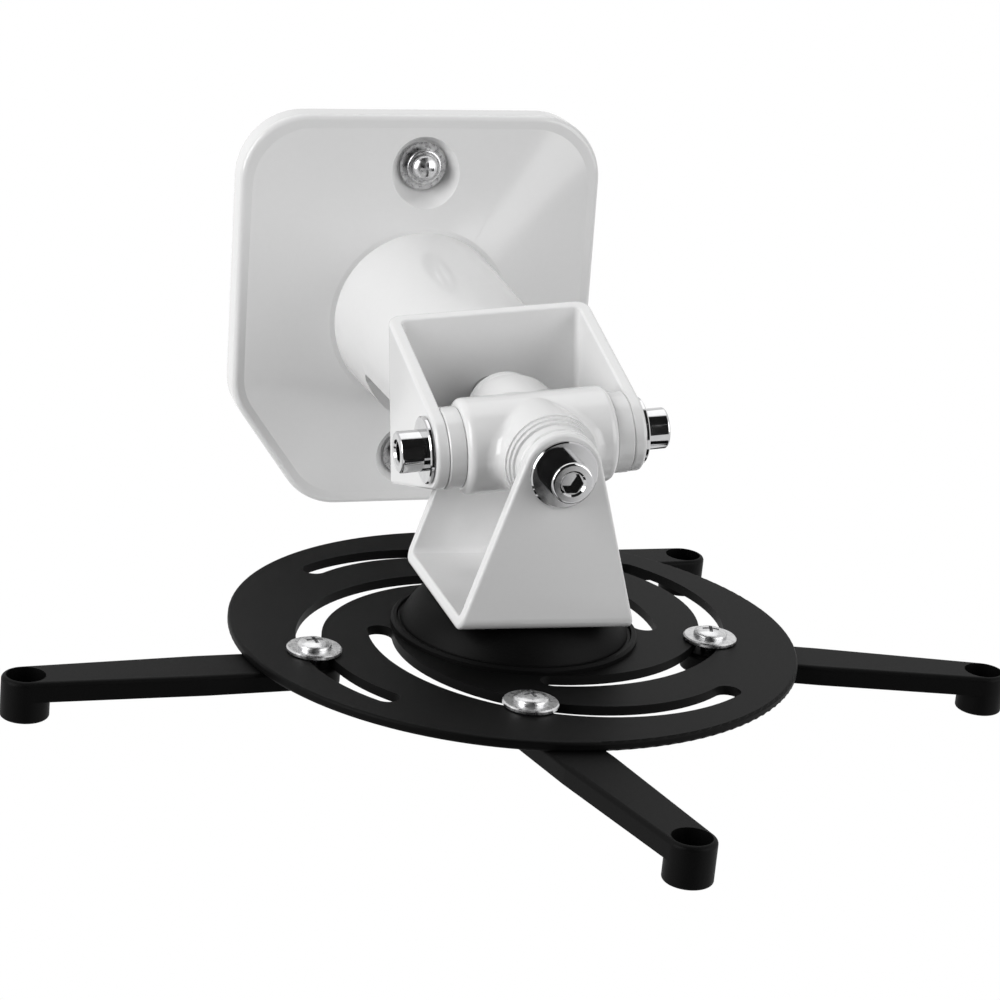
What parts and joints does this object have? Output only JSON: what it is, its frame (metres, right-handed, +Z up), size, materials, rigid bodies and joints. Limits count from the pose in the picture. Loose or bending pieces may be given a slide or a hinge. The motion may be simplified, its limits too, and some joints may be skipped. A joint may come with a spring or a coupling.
{
  "type": "projector wall mount",
  "caption": "Wall plate and neck carrying a tilting, rolling double yoke over a slotted disc whose swinging arms end in screw feet.",
  "frame": {"origin": "centre of the wall plate's back face, on the neck's axis, midway between the wall screws", "axes": "+Y goes into the wall, +Z is up, +X is to the right as seen from the room"},
  "size_m": [0.3174, 0.33, 0.1499],
  "materials": {
    "white_paint": "gloss",
    "black_powder": "satin powder coat",
    "zinc": "bright zinc",
    "bright_steel": "polished"
  },
  "bodies": {
    "wall": {"wall_plate": "white_paint", "wall_washer_upper": "zinc", "wall_washer_lower": "zinc", "wall_screw_upper": "zinc", "wall_screw_lower": "zinc", "swivel_washer": "bright_steel", "swivel_nut": "bright_steel", "swivel_bolt": "bright_steel"},
    "upper": {"upper_yoke": "white_paint"},
    "cross": {"cross_block": "white_paint", "tilt_left_bush": "white_paint", "tilt_left_washer": "bright_steel", "tilt_left_screw": "bright_steel", "tilt_right_bush": "white_paint", "tilt_right_washer": "bright_steel", "tilt_right_screw": "bright_steel", "roll_front_bush": "white_paint", "roll_front_washer": "bright_steel", "roll_front_screw": "bright_steel", "roll_back_bush": "white_paint", "roll_back_washer": "bright_steel", "roll_back_screw": "bright_steel"},
    "lower": {"lower_yoke": "white_paint", "pivot_washer": "bright_steel", "pivot_nut": "bright_steel", "pivot_bolt": "bright_steel"},
    "disc": {"slotted_disc": "black_powder", "bell": "black_powder"},
    "clamp_front": {"arm_washer_front": "zinc", "arm_screw_front": "zinc"},
    "clamp_right": {"arm_washer_right": "zinc", "arm_screw_right": "zinc"},
    "clamp_back": {"arm_washer_back": "zinc", "arm_screw_back": "zinc"},
    "clamp_left": {"arm_washer_left": "zinc", "arm_screw_left": "zinc"},
    "reach_front": {"arm_front": "black_powder"},
    "reach_right": {"arm_right": "black_powder"},
    "reach_back": {"arm_back": "black_powder"},
    "reach_left": {"arm_left": "black_powder"}
  },
  "joints": [
    {"name": "neck_swivel", "type": "hinge", "parent": "wall", "child": "upper", "pos_m": [0, -0.1025, 0], "axis": [0, -1, 0], "continuous": true},
    {"name": "tilt", "type": "hinge", "parent": "upper", "child": "cross", "pos_m": [0, -0.1535, 0], "axis": [0.9956, 0, 0.0941], "range_deg": [-90, 12]},
    {"name": "roll", "type": "hinge", "parent": "cross", "child": "lower", "pos_m": [0, -0.1535, 0], "axis": [0, -1, 0], "range_deg": [-10, 14]},
    {"name": "disc_swivel", "type": "hinge", "parent": "lower", "child": "disc", "pos_m": [0, -0.1535, -0.0624], "axis": [0, 0, 1], "range_deg": [-60, 60]},
    {"name": "slot_front", "type": "hinge", "parent": "disc", "child": "clamp_front", "pos_m": [0.01462, -0.16274, -0.0624], "axis": [0, 0, 1], "range_deg": [-49.5, 67.5]},
    {"name": "slot_right", "type": "hinge", "parent": "disc", "child": "clamp_right", "pos_m": [0.00924, -0.13888, -0.0624], "axis": [0, 0, 1], "range_deg": [-49.3, 46]},
    {"name": "slot_back", "type": "hinge", "parent": "disc", "child": "clamp_back", "pos_m": [-0.01462, -0.14426, -0.0624], "axis": [0, 0, 1], "range_deg": [-38, 49]},
    {"name": "slot_left", "type": "hinge", "parent": "disc", "child": "clamp_left", "pos_m": [-0.00924, -0.16812, -0.0624], "axis": [0, 0, 1], "range_deg": [-78.3, 38.7]},
    {"name": "swing_front", "type": "hinge", "parent": "clamp_front", "child": "reach_front", "pos_m": [-0.01287, -0.21489, -0.0654], "axis": [0, 0, 1], "range_deg": [-90, 60]},
    {"name": "swing_right", "type": "hinge", "parent": "clamp_right", "child": "reach_right", "pos_m": [0.06129, -0.16655, -0.0654], "axis": [0, 0, 1], "range_deg": [-90, 75]},
    {"name": "swing_back", "type": "hinge", "parent": "clamp_back", "child": "reach_back", "pos_m": [-0.0051, -0.08608, -0.0654], "axis": [0, 0, 1], "range_deg": [-45, 46]},
    {"name": "swing_left", "type": "hinge", "parent": "clamp_left", "child": "reach_left", "pos_m": [-0.06818, -0.16915, -0.0654], "axis": [0, 0, 1], "range_deg": [-60, 90]}
  ]
}
